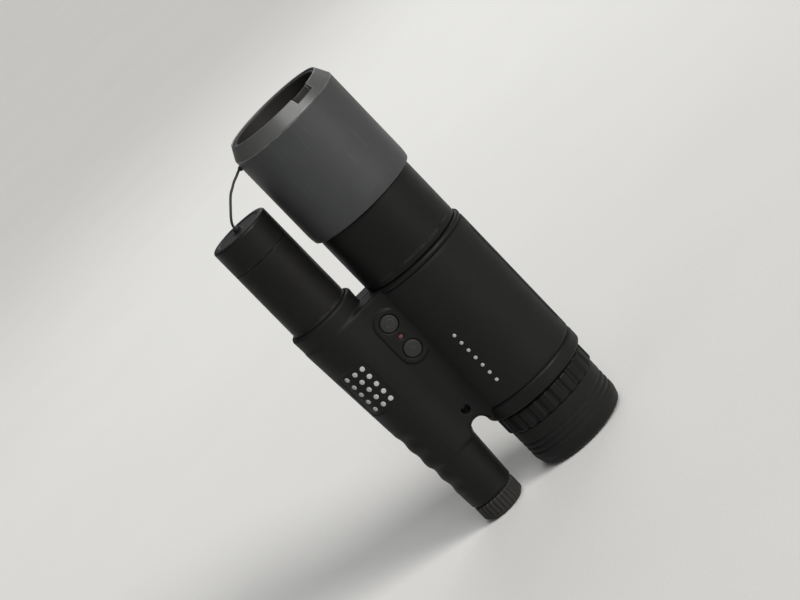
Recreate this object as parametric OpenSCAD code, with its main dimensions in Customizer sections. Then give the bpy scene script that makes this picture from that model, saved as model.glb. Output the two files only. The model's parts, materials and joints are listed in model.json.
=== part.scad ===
// Handheld night-vision monocular with an infrared illuminator beside the lens.
// Frame: origin at the eyecup's mouth on the optical axis, +Z towards the lens, front is -Y.
// All sizes are in millimetres.

/* [Optical barrel] */
// Height of the whole instrument along the optical axis
total_h = 186; // [180:1:192]
// Height at which the lens barrel starts above the focus ring
lens_z = 134; // [132:1:136]
// Diameter of the lens barrel at its rim
rim_d = 52; // [51:0.5:56]
// Diameter of the lens barrel at its lower end
lens_foot_d = 51; // [49:0.5:51]
// Diameter of the focus ring
focus_d = 47.5; // [46:0.5:48]
// Forward travel of the lens cell when it is focused on near things
focus_travel = 3; // [1:0.5:4]

/* [Housing] */
// Diameter of the housing round the image tube
housing_d = 50; // [49.5:0.5:52]
// Height of the housing's lower face above the eyecup's mouth
housing_z0 = 30; // [29:0.5:31]
// Height of the housing's shoulder
housing_z1 = 104.5; // [104:0.5:106]
// Wall of the moulded shells
wall = 2.2; // [2:0.1:2.4]
// Thickness of the rubber armour
armour_t = 1.2; // [0.8:0.1:1.6]
// Thickness of the gasket between the two shells
gasket_t = 0.5; // [0.3:0.1:0.8]

/* [Side tube] */
// Distance from the optical axis to the side tube's axis
axis_gap = 44.5; // [44:0.5:46]
// Radius of the side lobe just above the battery cap
lobe_foot_r = 10.5; // [10.3:0.1:11.5]
// Radius of the side lobe at its shoulder
lobe_top_r = 15.75; // [15.5:0.05:16.5]
// Height of the side lobe's top
lobe_z1 = 112; // [111:0.5:114]
// Diameter of the illuminator tube
ir_d = 27.5; // [26:0.5:27.5]
// Height of the illuminator tube's end, cap included
ir_z1 = 160; // [156:0.5:162]

/* [Eyepiece] */
// Outer diameter of the rubber eyecup
eyecup_d = 44; // [43:0.5:45]
// Diameter of the eyecup's open mouth
eye_mouth_d = 34; // [32:0.5:34.5]
// Diameter of the dioptre ring
dioptre_d = 46; // [45:0.5:47]

/* [Controls and fittings] */
// Diameter of each push button
button_d = 7.6; // [6:0.2:8]
// How far a button moves when it is pressed
button_travel = 1; // [0.6:0.1:1.1]
// Wall diameter of the quarter-inch tripod thread
tripod_d = 5.2; // [5:0.1:5.3]
// Diameter of the lanyard hole
lanyard_d = 4; // [3:0.5:4]
// Diameter of the cord between the two lens caps
tether_d = 1.1; // [0.8:0.1:1.4]

/* [Hidden] */

$fn = 96;
eps = 0.5;                          // how far a cutter runs past the face it cuts
run_gap = 0.05;                     // radial clearance of a turning or sliding fit
end_gap = 0.3;                      // clearance between faces that turn past each other

// Image tube and housing
side_x = -axis_gap;
housing_r = housing_d / 2;
shell_r = housing_r - armour_t;     // the moulded barrel under the armour
bore_r = shell_r - wall;            // the space for the image tube
fill_r = bore_r - 0.1;              // what fills that space
flange_h = 7;                       // the bare band below the armour
lip_h = 2.5;                        // the bare lip above it
armour_z0 = housing_z0 + flange_h;
armour_z1 = housing_z1 - lip_h;
end_wall = 2;                       // the housing's end walls
bridge_z0 = housing_z0 + 3;         // lower edge of the bridge between barrel and lobe
bridge_deep = 13;                   // half depth of the bridge at the buttons
bridge_slim = 10.5;                 // half depth of the bridge at its lower edge
bridge_slim_z1 = 80;
arch_r = 4.6;
arch_x = (side_x + lobe_foot_r + 1.2 - housing_r) / 2;

// Lens and focus
neck_r = 19;
neck_bore_r = 17;
neck_z1 = lens_z + 6;
mount_z0 = housing_z1 - end_wall - 5;
cell_bore_r = 22;                   // the lens barrel's bore, in which the cell slides
mouth_r = 22.2;                     // the bore that takes the cap
mouth_z = total_h - 13;
rim_z = total_h - 6.3;              // the bevelled rim ring's lower edge
thumb_angle = -60;                  // the rim's thumb notch, turned from +X towards the front
thumb_w = 10;
thumb_deep = 3;
rim_r = rim_d / 2;
cell_z0 = 112;
cell_step_z = 146;
cell_z1 = mouth_z - 3 - focus_travel;
front_r = 20;
front_seat_r = 18.5;
front_z = 157;
front_t = 8;
front_curve = 70;
rear_r = 15.5;
rear_z = 118;
rear_t = 6;
rear_curve = 60;

// Objective cap, its tab and the tether between the two caps
cap_t = 1.5;
cap_floor_z = mouth_z + 0.5;
cap_floor_t = 2;
cap_z1 = total_h - 0.6;
tab_w = 3.6;
tab_z0 = total_h - 9.8;
tab_z1 = total_h - 7.8;
tab_x = -(rim_r + 0.9);
notch_w = tab_w + 2 * end_gap;
post_r = 1.5;
post_z1 = ir_z1 + 1.5;
TETHER_ROUTE = [
    [tab_x, 0, (tab_z0 + tab_z1) / 2], [tab_x - 1.3, -0.9, 176.9], [-29.8, -2.8, 176.4],
    [-31.8, -4.7, 175.9], [-34.0, -6.3, 174.8], [-36.3, -7.3, 173.5], [-38.4, -7.7, 171.5],
    [-40.4, -7.5, 169.3], [-42.2, -6.6, 167.2], [-43.6, -5.0, 165.2], [-44.4, -3.0, 163.4],
    [-44.6, -1.1, 162.1], [side_x, 0, post_z1]
];

// Image tube
tube_r = 18.4;
tube_z0 = 52;
tube_z1 = 92;
window_r = 12;
window_t = 1.5;

// Eyepiece
sleeve_r = 19;
sleeve_bore_r = 17.4;
sleeve_z0 = 12;
sleeve_z1 = 48;
dioptre_z0 = 20.3;
hub_r = 20.6;
eyecup_floor_z = sleeve_z0 - end_gap;
eye_cell_z0 = 15;
eye_cell_z1 = 42;
eye_lens_r = 15.6;
eye_lens_z = 20;
field_lens_z = 36;
eye_lens_t = 6;
eye_curve = 60;

// Side lobe: a CR123A cell below, the illuminator above
lobe_z0 = 8.3;
cell_r = 8.5;
cell_h = 34.5;
battery_bore_r = 8.9;
battery_z0 = 12.3;
battery_bore_z1 = 50;
plug_r = battery_bore_r - 0.08;
battery_cap_r = lobe_foot_r - 0.25;
chamber_r = 10.5;
chamber_z0 = 62;
ir_socket_z = 98;
ir_r = ir_d / 2;
ir_bore_r = 11.2;
ir_step_r = 11.9;
ir_cap_z0 = ir_z1 - 13;
ir_step_z1 = ir_z1 - 2.5;
emitter_z = 108;

// Buttons, board and screws in the bridge
bay_x0 = -31.5;
bay_x1 = -22.5;
bay_x = (bay_x0 + bay_x1) / 2;
bay_y = 9.5;
bay_z0 = 56;
bay_rear_z0 = 69;
bay_z1 = 97;
BUTTON_Z = [92, 78];
window_z = 85;
window_pin_r = 1.2;
button_proud = 1.2;
board_y = -2;
board_t = 1.2;
switch_t = 1.8;
tripod_z = 62;
tripod_y = 12;
tripod_len = 7;
lanyard_z = 43.5;
SCREWS = [[-28, 50.5], [-27.2, 101], [side_x, 56]];
screw_r = 1.25;
screw_head_r = 2.3;
screw_seat_y = 8.5;
screw_tip_y = -8;

// Light marks on the front
DOT_X = [-55, -51.2, -47.4];
DOT_Z = [69.5, 73.75, 78, 82.25, 86.5];
dot_r = 1.1;
dot_depth = 1.5;
dot_proud = 0.3;
INDEX_Z = [for (i = [0:6]) 46.7 + 4.2 * i];
index_x = -11.4;
index_r = 0.8;

// Radius of the side lobe at height z
function lobe_r(z) = lobe_foot_r + (lobe_top_r - lobe_foot_r) * (z - lobe_z0) / (lobe_z1 - 2 - lobe_z0);
// Depth of the front surface at x, on a round wall of radius r about axis_x
function face_y(x, axis_x, r) = -sqrt(r * r - (x - axis_x) * (x - axis_x));
// Height of a lens's face above its middle plane, at radius x from its axis
function lens_face(x, t, c) = t / 2 - c + sqrt(c * c - x * x);

module rod(r, z0, z1) translate([0, 0, z0]) cylinder(r = r, h = z1 - z0);

module ring(r_out, r_in, z0, z1) difference() {
    rod(r_out, z0, z1);
    rod(r_in, z0 - eps, z1 + eps);
}

module at_side() translate([side_x, 0, 0]) children();

// A rod along Y from y0 to y1
module pin_y(x, z, r, y0, y1) translate([x, y1, z]) rotate([90, 0, 0]) cylinder(r = r, h = y1 - y0);

module block(x0, x1, y0, y1, z0, z1) translate([x0, y0, z0]) cube([x1 - x0, y1 - y0, z1 - z0]);

// A lens turned from its two curved faces, with surface radius c and its middle at z
module lens(r, t, c, z) {
    steps = 8;
    translate([0, 0, z]) rotate_extrude() polygon(concat(
        [for (i = [0:steps]) [r * i / steps, -lens_face(r * i / steps, t, c)]],
        [for (i = [steps:-1:0]) [r * i / steps, lens_face(r * i / steps, t, c)]]
    ));
}

// Housing

module bridge() {
    rotate([90, 0, 90]) translate([0, 0, side_x]) linear_extrude(axis_gap) polygon([
        [-bridge_slim, bridge_z0], [bridge_slim, bridge_z0], [bridge_deep, bridge_slim_z1],
        [bridge_deep, housing_z1], [-bridge_deep, housing_z1], [-bridge_deep, bridge_slim_z1]
    ]);
}

module housing_outside() {
    rod(shell_r, housing_z0 + 1, housing_z1 - 1);
    rotate_extrude() polygon([
        [0, housing_z0], [housing_r - 1.5, housing_z0], [housing_r, housing_z0 + 1.5],
        [housing_r, armour_z0], [0, armour_z0]
    ]);
    rotate_extrude() polygon([
        [0, armour_z1], [housing_r, armour_z1], [housing_r, housing_z1 - 1.2],
        [housing_r - 1.2, housing_z1], [0, housing_z1]
    ]);
    at_side() rotate_extrude() polygon([
        [0, lobe_z0], [lobe_foot_r, lobe_z0], [lobe_top_r, lobe_z1 - 2],
        [lobe_top_r - 1.5, lobe_z1], [0, lobe_z1]
    ]);
    difference() {
        bridge();
        pin_y(arch_x, bridge_z0, arch_r, -2 * bridge_deep, 2 * bridge_deep);
    }
}

module housing_inside() {
    rod(bore_r, housing_z0 + end_wall, housing_z1 - end_wall);
    rod(neck_r + 0.2, housing_z0 - eps, housing_z1 + eps);
    at_side() {
        rod(battery_bore_r, lobe_z0 - eps, battery_bore_z1);
        rod(chamber_r, chamber_z0, ir_socket_z + eps);
        rod(ir_r, ir_socket_z, lobe_z1 + eps);
    }
    block(bay_x0, bay_x1, -bay_y, 0.1, bay_z0, bay_z1);
    block(bay_x0, bay_x1, 0, bay_y, bay_rear_z0, bay_z1);
    pin_y(arch_x, lanyard_z, lanyard_d / 2, -2 * bridge_deep, 2 * bridge_deep);
}

// The part of the housing between two planes across Y
module housing_slice(y0, y1) intersection() {
    difference() {
        housing_outside();
        housing_inside();
    }
    block(side_x - housing_d, housing_d, y0, y1, 0, total_h);
}

module dot_pins(proud) for (x = DOT_X, z = DOT_Z) {
    y = face_y(x, side_x, lobe_r(z));
    pin_y(x, z, dot_r, y - proud, y + dot_depth);
}

module index_pins(proud) for (z = INDEX_Z) {
    y = face_y(index_x, 0, housing_r);
    pin_y(index_x, z, index_r, y - proud, y + armour_t - 0.4);
}

module front_shell() color("#1d1e1d") difference() {
    housing_slice(-housing_d, -gasket_t / 2);
    for (z = BUTTON_Z) pin_y(bay_x, z, button_d / 2 + run_gap, -2 * bridge_deep, -bay_y + eps);
    pin_y(bay_x, window_z, window_pin_r, -2 * bridge_deep, -bay_y + eps);
    for (s = SCREWS) pin_y(s[0], s[1], screw_r, screw_tip_y, eps);
    dot_pins(2);
}

module rear_shell() color("#1d1e1d") difference() {
    housing_slice(gasket_t / 2, housing_d);
    for (s = SCREWS) {
        pin_y(s[0], s[1], screw_r + 0.1, -eps, screw_seat_y + eps);
        pin_y(s[0], s[1], screw_head_r + 0.2, screw_seat_y, 2 * bridge_deep);
    }
    pin_y(bay_x, tripod_z, 4.4, tripod_y - tripod_len - 1, 2 * bridge_deep);
}

module shell_gasket() color("#121212") difference() {
    housing_slice(-gasket_t / 2, gasket_t / 2);
    for (s = SCREWS) pin_y(s[0], s[1], screw_r + 0.1, -eps, eps);
}

module shell_screws() color("#8d8f90") for (s = SCREWS) difference() {
    union() {
        pin_y(s[0], s[1], screw_r, screw_tip_y, screw_seat_y + eps);
        pin_y(s[0], s[1], screw_head_r, screw_seat_y, screw_seat_y + 2);
    }
    pin_y(s[0], s[1], 1.1, screw_seat_y + 0.8, screw_seat_y + 3);
}

module barrel_armour() color("#161716") difference() {
    ring(housing_r, shell_r, armour_z0, armour_z1);
    block(-housing_d, -10, -bridge_deep - 0.6, bridge_deep + 0.6, 0, total_h);
    index_pins(2);
}

module grip_dots() color("#d9d9d4") dot_pins(dot_proud);

module index_dots() color("#d9d9d4") index_pins(dot_proud);

module tripod_insert() color("#b08d4a") difference() {
    pin_y(bay_x, tripod_z, 4.4, tripod_y - tripod_len - 1, tripod_y);
    pin_y(bay_x, tripod_z, tripod_d / 2, tripod_y - tripod_len, tripod_y + eps);
}

// Lens and focus

module objective_mount() color("#3a3b3c") difference() {
    union() {
        rod(fill_r, mount_z0, housing_z1 - end_wall);
        rod(neck_r, mount_z0, neck_z1);
    }
    rod(neck_bore_r, mount_z0 - eps, neck_z1 + eps);
}

module focus_ring() color("#1b1b1a") difference() {
    rotate_extrude() polygon([
        [neck_r + run_gap, housing_z1 + end_gap], [focus_d / 2 - 0.5, housing_z1 + end_gap],
        [focus_d / 2, housing_z1 + end_gap + 0.5], [focus_d / 2, lens_z - end_gap - 0.5],
        [focus_d / 2 - 0.5, lens_z - end_gap], [neck_r + run_gap, lens_z - end_gap]
    ]);
    pin_y(0, housing_z1 + 6, 1, focus_d / 2 - 0.6, focus_d);
}

module objective_barrel() color("#4a4c4c") difference() {
    rotate_extrude() polygon([
        [neck_r, lens_z], [lens_foot_d / 2 - 0.6, lens_z], [lens_foot_d / 2, lens_z + 0.6],
        [rim_r, lens_z + 3], [rim_r, rim_z],
        [mouth_r, rim_z], [mouth_r, mouth_z], [cell_bore_r, mouth_z], [cell_bore_r, neck_z1],
        [neck_r, neck_z1]
    ]);
    block(-housing_d, -10, -notch_w / 2, notch_w / 2, tab_z0 - end_gap, total_h);
}

module rim_ring() color("#9a9b98") difference() {
    rotate_extrude() polygon([
        [mouth_r, rim_z], [rim_r, rim_z], [rim_r, rim_z + 0.4], [mouth_r + 0.7, total_h],
        [mouth_r + 0.3, total_h], [mouth_r, total_h - 0.3]
    ]);
    block(-housing_d, -10, -notch_w / 2, notch_w / 2, rim_z - eps, total_h + eps);
    rotate([0, 0, thumb_angle])
        block(mouth_r - eps, rim_r + eps, -thumb_w / 2, thumb_w / 2, total_h - thumb_deep, total_h + eps);
}

module objective_cell() color("#2c2d2e") difference() {
    union() {
        rod(neck_bore_r - run_gap, cell_z0, cell_step_z + eps);
        rod(cell_bore_r - run_gap, cell_step_z, cell_z1);
    }
    rod(rear_r, cell_z0 - eps, cell_z1);
    rod(front_seat_r, cell_step_z + 2, cell_z1);
    rod(front_r, front_z - lens_face(front_seat_r, front_t, front_curve), cell_z1 + eps);
}

module front_element() color("#3b4a63", 0.5) lens(front_r, front_t, front_curve, front_z);

module rear_element() color("#3b4a63", 0.5) lens(rear_r, rear_t, rear_curve, rear_z);

module element_retainer() color("#262728")
    ring(front_r, front_seat_r, front_z + lens_face(front_seat_r, front_t, front_curve), cell_z1 - 1);

module objective_cap() color("#151514") {
    ring(mouth_r - 0.1, mouth_r - 0.1 - cap_t, cap_floor_z, cap_z1);
    rod(mouth_r - cap_t, cap_floor_z, cap_floor_z + cap_floor_t);
    block(tab_x, -(mouth_r - 1), -tab_w / 2, tab_w / 2, tab_z0, tab_z1);
}

module tether_post() color("#202020") at_side() rod(post_r, ir_z1, post_z1);

// The cord is swept along its route, with each ring square to the way the cord runs there.
function unit(v) = v / norm(v);
function heading(route, i) =
    i == 0 ? [-1, 0, 0]
    : i == len(route) - 1 ? [0, 0, -1]
    : unit(route[i + 1] - route[i - 1]);
function ring_points(centre, dir, r, sides) =
    let (u = unit(cross([0, 1, 0], dir)), v = cross(dir, u))
    [for (k = [0:sides - 1]) centre + r * (cos(360 * k / sides) * u + sin(360 * k / sides) * v)];

module swept_cord(route, r, sides) {
    rings = len(route);
    points = [for (i = [0:rings - 1]) each ring_points(route[i], heading(route, i), r, sides)];
    walls = [
        for (i = [0:rings - 2], k = [0:sides - 1])
        let (n = (k + 1) % sides)
        each [
            [i * sides + k, i * sides + n, (i + 1) * sides + n],
            [i * sides + k, (i + 1) * sides + n, (i + 1) * sides + k]
        ]
    ];
    start = [for (k = [sides - 1:-1:0]) k];
    end = [for (k = [0:sides - 1]) (rings - 1) * sides + k];
    polyhedron(points, concat([start], walls, [end]));
}

module cap_tether() color("#0d0d0d") swept_cord(TETHER_ROUTE, tether_d / 2, 8);

// Image tube

module tube_holder() color("#c9c4b4") ring(fill_r, tube_r, tube_z0, tube_z1);

module intensifier_tube() color("#2a2f33") rod(tube_r, tube_z0, tube_z1);

module tube_windows() color("#5d8a5f", 0.6) {
    rod(window_r, tube_z0 - window_t, tube_z0);
    rod(window_r, tube_z1, tube_z1 + window_t);
}

module tube_retainer() color("#8a8c8e") ring(fill_r, window_r + 3, tube_z1, mount_z0);

// Eyepiece

module eyepiece_sleeve() color("#3a3b3c") difference() {
    union() {
        rod(sleeve_r, sleeve_z0, sleeve_z1);
        rod(fill_r, housing_z0 + end_wall, housing_z0 + end_wall + 4);
    }
    rod(sleeve_bore_r, sleeve_z0 - eps, sleeve_z1 + eps);
}

module dioptre_ring() color("#1b1b1a") difference() {
    rotate_extrude() polygon([
        [sleeve_r + run_gap, sleeve_z0], [hub_r, sleeve_z0], [hub_r, dioptre_z0],
        [dioptre_d / 2 - 0.8, dioptre_z0], [dioptre_d / 2, dioptre_z0 + 0.8],
        [dioptre_d / 2, housing_z0 - end_gap - 0.8], [dioptre_d / 2 - 0.8, housing_z0 - end_gap],
        [sleeve_r + run_gap, housing_z0 - end_gap]
    ]);
    for (a = [0:15:345]) rotate([0, 0, a]) translate([dioptre_d / 2 + 0.4, 0, dioptre_z0 - eps])
        cylinder(r = 1, h = housing_z0 - dioptre_z0 + eps);
}

module eyecup() color("#171716") rotate_extrude() {
    lip = 6;
    r = eyecup_d / 2;
    polygon(concat(
        [[eye_mouth_d / 2, 0]],
        [for (a = [0:15:90]) [r - lip * 0.55 + lip * 0.55 * sin(a), lip - lip * cos(a)]],
        [[r, dioptre_z0], [hub_r, dioptre_z0], [hub_r, eyecup_floor_z], [eye_mouth_d / 2, eyecup_floor_z]]
    ));
}

module eye_cell() color("#2c2d2e") ring(sleeve_bore_r - run_gap, eye_lens_r, eye_cell_z0, eye_cell_z1);

module eye_lens() color("#3b4a63", 0.5) lens(eye_lens_r, eye_lens_t, eye_curve, eye_lens_z);

module field_lens() color("#3b4a63", 0.5) lens(eye_lens_r, eye_lens_t, eye_curve, field_lens_z);

// Electronics and buttons in the bridge

module circuit_board() color("#1f5a33")
    block(bay_x0 + 0.2, bay_x1 - 0.2, board_y - board_t, board_y, bay_z0 + 1, bay_z1 - 1);

module board_parts() color("#57503c") {
    block(bay_x0 + 1, bay_x1 - 1, board_y, bay_y - 1, 71, 82);
    pin_y(bay_x, 88, 3, board_y, bay_y - 2);
    block(bay_x - 2.5, bay_x + 2.5, board_y - board_t - 1.5, board_y - board_t, 60, 68);
}

module tact_switches() color("#b9b9b4") for (z = BUTTON_Z)
    block(bay_x - 3, bay_x + 3, board_y - board_t - switch_t, board_y - board_t, z - 3, z + 3);

module button(z) {
    flange_y = -bay_y + 0.1;
    stem_y = board_y - board_t - switch_t - button_travel - 0.2;
    pin_y(bay_x, z, button_d / 2, -bridge_deep - button_proud, flange_y + eps);
    pin_y(bay_x, z, button_d / 2 + 0.5, flange_y, flange_y + 1);
    pin_y(bay_x, z, 1.2, flange_y + eps, stem_y);
}

module power_button() color("#2b2b2a") button(BUTTON_Z[0]);

module ir_button() color("#2b2b2a") button(BUTTON_Z[1]);

module status_window() color("#3a0f0f") pin_y(bay_x, window_z, window_pin_r, -bridge_deep - 0.2, -bay_y);

// Illuminator in the side tube

module ir_barrel() color("#1f1f1e") at_side() difference() {
    union() {
        rod(ir_r, ir_socket_z, ir_cap_z0);
        rod(ir_step_r, ir_socket_z, ir_step_z1);
    }
    rod(ir_bore_r, ir_socket_z - eps, ir_step_z1 + eps);
}

module ir_lens() color("#35302f", 0.6) at_side() lens(ir_bore_r, 5, 40, ir_step_z1 - 5);

module ir_reflector() color("#d5d5d5") at_side() difference() {
    rod(ir_bore_r, emitter_z + 2, emitter_z + 18);
    translate([0, 0, emitter_z + 2 - 0.01]) cylinder(r1 = 3, r2 = ir_bore_r - 0.8, h = 16.02);
}

module ir_emitter() color("#e4dfc8") at_side() {
    rod(ir_bore_r, emitter_z, emitter_z + 2);
    rod(1.6, emitter_z + 2, emitter_z + 4);
}

module ir_cap() color("#1f1f1e") at_side() rotate_extrude() polygon(concat(
    [[ir_step_r, ir_cap_z0], [ir_r, ir_cap_z0]],
    [for (a = [0:15:90]) [ir_r - 1.6 + 1.6 * cos(a), ir_z1 - 1.6 + 1.6 * sin(a)]],
    [[0, ir_z1], [0, ir_step_z1], [ir_step_r, ir_step_z1]]
));

// Battery compartment

module battery() color("#7a7d80") at_side() {
    rod(cell_r, battery_z0, battery_z0 + cell_h - 1);
    rod(2.5, battery_z0 + cell_h - 1, battery_z0 + cell_h);
}

module battery_contact() color("#c7b27a") at_side() {
    ring(3.5, 2.7, battery_z0 + cell_h, battery_bore_z1 - 0.6);
    rod(battery_bore_r - 0.2, battery_bore_z1 - 0.6, battery_bore_z1);
}

module battery_cap() color("#191918") at_side() difference() {
    union() {
        rotate_extrude() polygon([
            [0, 0], [battery_cap_r - 1.2, 0], [battery_cap_r, 1.2],
            [battery_cap_r, lobe_z0 - end_gap], [0, lobe_z0 - end_gap]
        ]);
        rod(plug_r, lobe_z0 - end_gap - eps, battery_z0 - end_gap);
    }
    ring(plug_r + 1, plug_r - 1, lobe_z0 + 1, lobe_z0 + 2.4);
    block(-7, 7, -1, 1, -eps, 1.8);
}

module battery_seal() color("#0e0e0e") at_side()
    ring(plug_r - 0.05, plug_r - 1, lobe_z0 + 1, lobe_z0 + 2.4);

front_shell();
rear_shell();
shell_gasket();
shell_screws();
barrel_armour();
grip_dots();
index_dots();
tripod_insert();
objective_mount();
focus_ring();
objective_barrel();
rim_ring();
objective_cell();
front_element();
rear_element();
element_retainer();
objective_cap();
tether_post();
cap_tether();
tube_holder();
intensifier_tube();
tube_windows();
tube_retainer();
eyepiece_sleeve();
dioptre_ring();
eyecup();
eye_cell();
eye_lens();
field_lens();
circuit_board();
board_parts();
tact_switches();
power_button();
ir_button();
status_window();
ir_barrel();
ir_lens();
ir_reflector();
ir_emitter();
ir_cap();
battery();
battery_contact();
battery_cap();
battery_seal();
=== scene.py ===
import json
import math

import bmesh
import bpy
import numpy as np
import openvdb
from mathutils import Matrix, Quaternion, Vector


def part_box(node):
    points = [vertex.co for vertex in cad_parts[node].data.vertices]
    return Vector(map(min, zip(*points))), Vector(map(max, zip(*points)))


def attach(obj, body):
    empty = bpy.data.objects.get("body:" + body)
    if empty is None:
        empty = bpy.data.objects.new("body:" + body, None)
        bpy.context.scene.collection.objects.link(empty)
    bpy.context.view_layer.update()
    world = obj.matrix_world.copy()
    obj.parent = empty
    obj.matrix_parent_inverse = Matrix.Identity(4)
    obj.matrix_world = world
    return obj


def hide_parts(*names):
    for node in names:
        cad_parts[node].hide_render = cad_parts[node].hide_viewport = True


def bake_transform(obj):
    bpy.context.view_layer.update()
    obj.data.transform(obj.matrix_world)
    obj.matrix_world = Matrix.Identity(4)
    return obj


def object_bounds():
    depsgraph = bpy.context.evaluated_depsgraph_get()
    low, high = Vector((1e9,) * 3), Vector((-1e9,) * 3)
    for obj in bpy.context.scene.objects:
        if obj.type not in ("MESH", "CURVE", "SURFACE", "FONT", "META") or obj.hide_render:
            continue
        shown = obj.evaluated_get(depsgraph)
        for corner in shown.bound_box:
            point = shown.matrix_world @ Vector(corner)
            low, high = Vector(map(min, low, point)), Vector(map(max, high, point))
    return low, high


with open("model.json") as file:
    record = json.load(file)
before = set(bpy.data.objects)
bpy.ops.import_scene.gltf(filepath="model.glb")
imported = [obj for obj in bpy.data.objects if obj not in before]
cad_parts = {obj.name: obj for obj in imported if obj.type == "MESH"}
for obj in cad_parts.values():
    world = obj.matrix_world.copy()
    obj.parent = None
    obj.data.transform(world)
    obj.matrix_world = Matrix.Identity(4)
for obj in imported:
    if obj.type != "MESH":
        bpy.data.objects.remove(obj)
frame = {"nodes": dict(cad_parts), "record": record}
nodes = frame["nodes"]
cad_low, cad_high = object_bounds()

MM = 0.001
END_GAP = 0.3 * MM          # between faces that turn past each other
ARMOUR_T = 1.2 * MM
BUTTON_PROUD = 1.2 * MM
LID_INSET = 0.25 * MM       # how much slimmer the battery cap is than the lobe's foot
LOBE_CHAMFER = 2 * MM
NECK_R = 19 * MM
MOUTH_R = 22.2 * MM         # the bore in the lens barrel that takes the cap

# Where things are, in metres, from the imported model

barrel_low, barrel_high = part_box("objective_barrel")
rim_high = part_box("rim_ring")[1]
focus_low, focus_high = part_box("focus_ring")
shell_low, shell_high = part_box("front_shell")
armour_low, armour_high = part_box("barrel_armour")
ir_low, ir_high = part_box("ir_barrel")
ir_cap_low, ir_cap_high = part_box("ir_cap")
cap_low, cap_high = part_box("objective_cap")
dioptre_low, dioptre_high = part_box("dioptre_ring")
eyecup_low, eyecup_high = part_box("eyecup")
battery_low, battery_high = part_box("battery_cap")
power_low, power_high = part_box("power_button")
ir_button_low, ir_button_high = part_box("ir_button")
window_low, window_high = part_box("status_window")
tripod_low, tripod_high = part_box("tripod_insert")
post_low, post_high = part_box("tether_post")
dots_low, dots_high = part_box("grip_dots")
index_low, index_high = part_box("index_dots")

side_x = (ir_cap_low.x + ir_cap_high.x) / 2
housing_r = armour_high.x
shell_r = housing_r - ARMOUR_T
housing_z0 = dioptre_high.z + END_GAP
housing_z1 = focus_low.z - END_GAP
bridge_deep = -power_low.y - BUTTON_PROUD
button_x = (power_low.x + power_high.x) / 2
lobe_z0 = shell_low.z
lobe_z1 = shell_high.z
lobe_top_r = side_x - shell_low.x
lobe_foot_r = (battery_high.x - battery_low.x) / 2 + LID_INSET


def lobe_radius(z):
    """Radius of the side lobe at height z, in metres."""
    share = (z - lobe_z0) / (lobe_z1 - LOBE_CHAMFER - lobe_z0)
    return lobe_foot_r + (lobe_top_r - lobe_foot_r) * share


# Camera: from the front and a little above, with the instrument's axis leaning to the upper left

VIEW_ELEVATION = math.radians(12.4)
VIEW_ROLL = math.radians(-44.1)
LENS_MM = 135
SENSOR_MM = 36
FRAME_WIDTH = 0.325


def make_camera():
    centre = (cad_low + cad_high) / 2
    camera = bpy.data.objects.new("camera", bpy.data.cameras.new("camera"))
    bpy.context.scene.collection.objects.link(camera)
    camera.data.lens = LENS_MM
    camera.data.sensor_width = SENSOR_MM
    back = Vector((0, -math.cos(VIEW_ELEVATION), math.sin(VIEW_ELEVATION)))
    camera.location = centre + back * (FRAME_WIDTH * LENS_MM / SENSOR_MM)
    camera.rotation_mode = "QUATERNION"
    aim = (-back).to_track_quat("-Z", "Y")
    camera.rotation_quaternion = aim @ Quaternion((0, 0, 1), VIEW_ROLL)
    camera.data.clip_start = 0.01
    camera.data.clip_end = 50
    bpy.context.scene.camera = camera


make_camera()

# The cord between the two caps, along the route that the CAD tube takes

TETHER_MM = [
    (-26.9, 0, 177.2), (-28.2, -0.9, 176.9), (-29.8, -2.8, 176.4), (-31.8, -4.7, 175.9),
    (-34, -6.3, 174.8), (-36.3, -7.3, 173.5), (-38.4, -7.7, 171.5), (-40.4, -7.5, 169.3),
    (-42.2, -6.6, 167.2), (-43.6, -5, 165.2), (-44.4, -3, 163.4), (-44.6, -1.1, 162.1),
    (-44.5, 0, 161.5),
]
TETHER_D = 1.1 * MM


def smooth_route(points, steps):
    """A Catmull-Rom line through the points, in metres."""
    p = [Vector(q) * MM for q in points]
    p = [2 * p[0] - p[1], *p, 2 * p[-1] - p[-2]]
    line = []
    for i in range(1, len(p) - 2):
        for k in range(steps):
            t = k / steps
            a, b, c, d = p[i - 1:i + 3]
            line.append(0.5 * (2 * b + (c - a) * t + (2 * a - 5 * b + 4 * c - d) * t * t
                               + (3 * b - a - 3 * c + d) * t * t * t))
    return line + [p[-2]]


# Meshes

def add_object(name, mesh):
    thing = bpy.data.objects.new(name, mesh)
    bpy.context.scene.collection.objects.link(thing)
    return thing


def face_outwards(mesh):
    bm = bmesh.new()
    bm.from_mesh(mesh)
    bmesh.ops.recalc_face_normals(bm, faces=bm.faces)
    bm.to_mesh(mesh)
    bm.free()


def mesh_object(name, verts, faces, smooth=True):
    mesh = bpy.data.meshes.new(name)
    mesh.from_pydata([tuple(v) for v in verts], [], faces)
    mesh.validate()
    face_outwards(mesh)
    if smooth:
        mesh.shade_smooth()
    return add_object(name, mesh)


def fillet(corners, steps=5):
    """A closed outline with each corner (r, z, radius) rounded."""
    outline = []
    count = len(corners)
    for i, (x, z, radius) in enumerate(corners):
        here = Vector((x, z))
        before = Vector(corners[i - 1][:2]) - here
        after = Vector(corners[(i + 1) % count][:2]) - here
        if radius <= 0:
            outline.append(here)
            continue
        half = before.angle(after) / 2
        reach = min(radius / math.tan(half), before.length * 0.49, after.length * 0.49)
        start = here + before.normalized() * reach
        end = here + after.normalized() * reach
        for k in range(steps + 1):
            t = k / steps
            outline.append((1 - t) ** 2 * start + 2 * t * (1 - t) * here + t * t * end)
    return outline


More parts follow.
